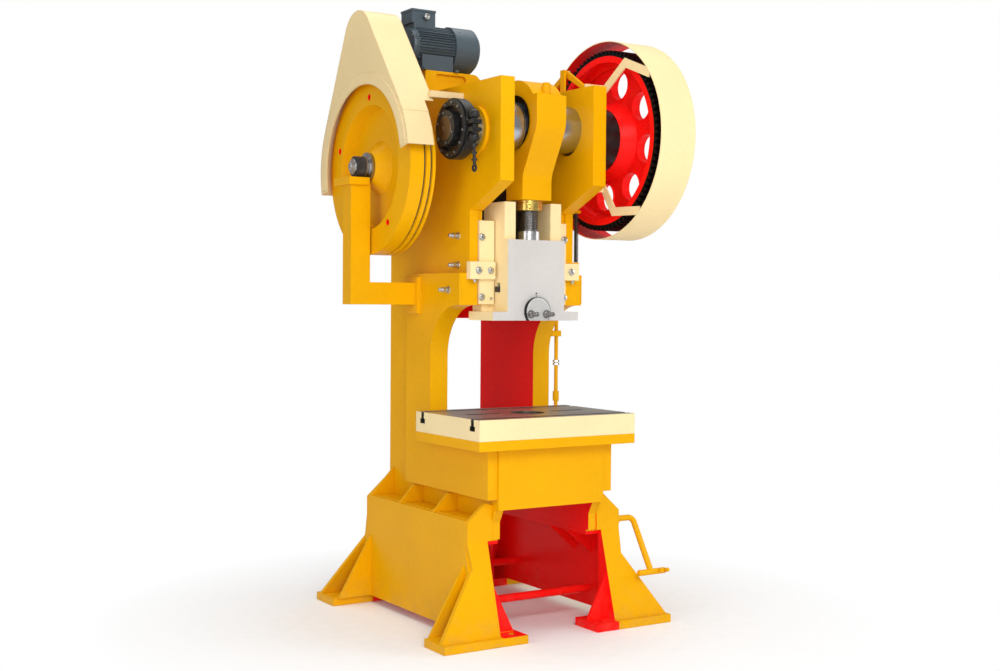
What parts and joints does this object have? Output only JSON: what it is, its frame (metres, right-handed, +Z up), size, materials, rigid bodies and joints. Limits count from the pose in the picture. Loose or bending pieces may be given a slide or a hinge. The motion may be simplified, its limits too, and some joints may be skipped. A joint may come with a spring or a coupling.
{
  "type": "mechanical stamping press",
  "caption": "Open-front eccentric stamping press with a geared crank drive, flywheel, motor, ram, bolster table and foot pedal.",
  "frame": {"origin": "middle of the rectangle of the four outer anchor bolts, on the floor", "axes": "+X to the operator's right, +Y to the back of the press, +Z up"},
  "size_m": [1.111, 1.218, 2.442],
  "materials": {
    "paint_yellow": "semi-gloss enamel",
    "paint_cream": "semi-gloss enamel",
    "paint_grey": "satin enamel",
    "paint_red": "semi-gloss enamel",
    "black_steel": "oiled black",
    "bright_steel": "machined",
    "bronze": "machined bronze",
    "motor_paint": "semi-gloss enamel",
    "rubber": "matt"
  },
  "bodies": {
    "root": {"back_plates": "paint_yellow", "bearing_housings": "paint_yellow", "bed_panels": "paint_yellow", "belt_guard": "paint_cream", "bolster_plate": "paint_cream", "brake_anchor": "black_steel", "brake_band": "black_steel", "brake_spring_bolt": "black_steel", "crank_bushes": "bronze", "drive_belts": "rubber", "fan_cowl": "motor_paint", "gear_guard": "paint_cream", "gear_guard_bars": "paint_cream", "gibs": "paint_cream", "guide_bolts": "bright_steel", "head_plates": "paint_yellow", "knockout_stops": "paint_cream", "layshaft_bushes": "bronze", "left_side_frame": "paint_yellow", "left_stand": "paint_yellow", "linkage_brackets": "paint_yellow", "motor_base": "paint_yellow", "motor_end_shield": "motor_paint", "motor_frame": "motor_paint", "pedal_bearing": "paint_yellow", "right_side_frame": "paint_yellow", "right_stand": "paint_yellow", "safety_bracket": "paint_yellow", "table_flange_plate": "paint_yellow", "terminal_box": "motor_paint", "terminal_lid": "motor_paint", "tie_bars": "paint_yellow"},
    "crank": {"crankshaft": "bright_steel", "brake_drum": "black_steel", "clutch_sleeve": "black_steel", "gear_end_cap": "bright_steel"},
    "rod": {"connecting_rod": "paint_yellow", "rod_bush": "bronze", "lock_ring": "bronze"},
    "screw": {"ball_screw": "bright_steel"},
    "ram": {"slide": "paint_grey", "ball_seat": "bronze", "ball_retainer": "bright_steel", "die_clamp_block": "black_steel", "clamp_studs": "bright_steel"},
    "bar": {"knockout_bar": "bright_steel"},
    "gear": {"big_gear": "paint_red", "gear_bush": "bronze"},
    "layshaft": {"pinion_shaft": "bright_steel", "pinion": "bright_steel", "flywheel": "paint_yellow", "shaft_spool": "black_steel", "support_roller": "black_steel", "shaft_nut": "bright_steel"},
    "rotor": {"motor_shaft": "bright_steel", "motor_pulley": "bright_steel"},
    "pedal": {"pedal_lever": "paint_yellow"},
    "link": {"pull_rod": "paint_yellow", "return_spring": "bright_steel"},
    "latch": {"latch_lever": "paint_yellow"}
  },
  "joints": [
    {"name": "gear_spin", "type": "hinge", "parent": "root", "child": "gear", "pos_m": [0, -0.253, 1.912], "axis": [1, 0, 0], "continuous": true},
    {"name": "layshaft_spin", "type": "hinge", "parent": "root", "child": "layshaft", "pos_m": [0, 0.153, 1.78977], "axis": [1, 0, 0], "continuous": true},
    {"name": "motor_spin", "type": "hinge", "parent": "root", "child": "rotor", "pos_m": [0, 0.202, 2.295], "axis": [1, 0, 0], "continuous": true},
    {"name": "crank_rock", "type": "hinge", "parent": "root", "child": "crank", "pos_m": [0, -0.253, 1.912], "axis": [1, 0, 0], "range_deg": [-12, 12]},
    {"name": "rod_swing", "type": "hinge", "parent": "crank", "child": "rod", "pos_m": [0, -0.253, 1.972], "axis": [1, 0, 0], "range_deg": [-10.65, 10.65]},
    {"name": "height_adjust", "type": "slide", "parent": "rod", "child": "screw", "axis": [0, 0, 1], "range_m": [-0.06, 0]},
    {"name": "ball_swing", "type": "hinge", "parent": "screw", "child": "ram", "pos_m": [0, -0.253, 1.47], "axis": [1, 0, 0], "range_deg": [-1.36, 1.36]},
    {"name": "knockout_lift", "type": "slide", "parent": "ram", "child": "bar", "axis": [0, 0, 1], "range_m": [0, 0.013]},
    {"name": "pedal_press", "type": "hinge", "parent": "root", "child": "pedal", "pos_m": [0.37, -0.351, 0.4], "axis": [1, 0, 0], "range_deg": [0, 5]},
    {"name": "rod_pull", "type": "slide", "parent": "root", "child": "link", "axis": [0, 0, 1], "range_m": [0, 0.0332], "deforming": ["return_spring"]},
    {"name": "latch_swing", "type": "hinge", "parent": "root", "child": "latch", "pos_m": [0.26, -0.123, 2.19], "axis": [1, 0, 0], "range_deg": [0, 15]}
  ],
  "couplings": [
    {"joint": "layshaft_spin", "follows": "gear_spin", "ratio": -4.8889},
    {"joint": "motor_spin", "follows": "gear_spin", "ratio": -28.111},
    {"joint": "rod_swing", "follows": "crank_rock", "ratio": -0.88722},
    {"joint": "ball_swing", "follows": "crank_rock", "ratio": -0.11278},
    {"joint": "rod_pull", "follows": "pedal_press", "m_per_rad": 0.38},
    {"joint": "latch_swing", "follows": "pedal_press", "ratio": 3}
  ]
}
